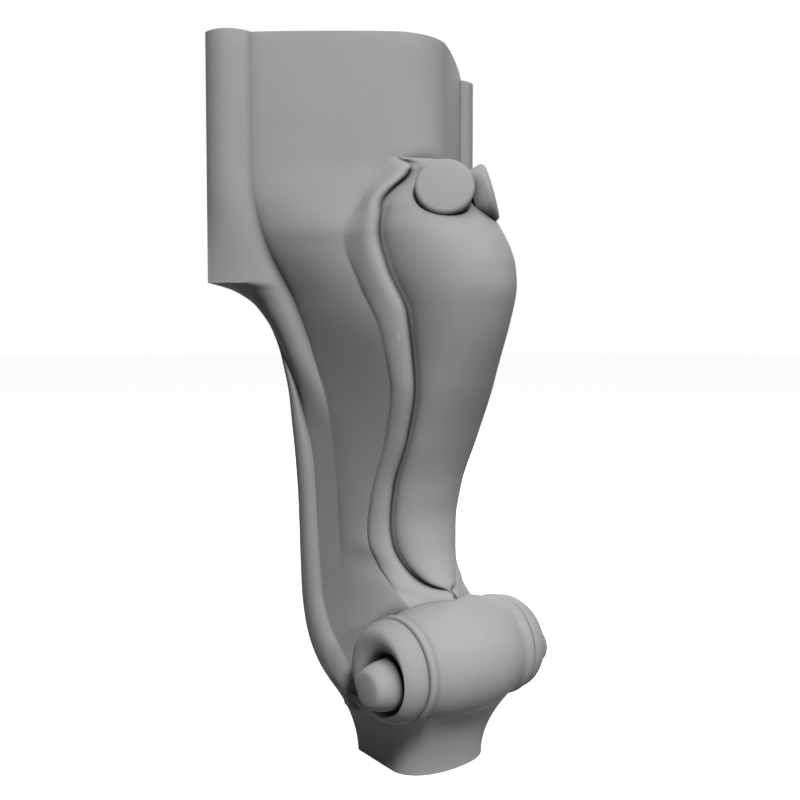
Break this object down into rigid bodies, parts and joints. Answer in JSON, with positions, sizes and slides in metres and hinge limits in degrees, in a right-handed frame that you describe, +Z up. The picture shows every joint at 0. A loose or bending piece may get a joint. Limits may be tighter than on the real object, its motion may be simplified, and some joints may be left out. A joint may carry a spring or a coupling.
{
  "type": "carved furniture leg",
  "caption": "Corner leg for furniture with a winged top block, a carved pad with raised border on the knee, and a side-to-side scroll above the foot.",
  "frame": {"origin": "on the floor under the foot, in the leg's mirror plane, a little behind the middle of the foot face", "axes": "+Z up along the leg, -Y towards the carved front, +X to the right of someone who looks along +Y at that front"},
  "size_m": [0.144, 0.0986, 0.3],
  "materials": {
    "leg": "satin grey paint over carved wood"
  },
  "bodies": {
    "root": {"leg": "leg"}
  },
  "joints": []
}
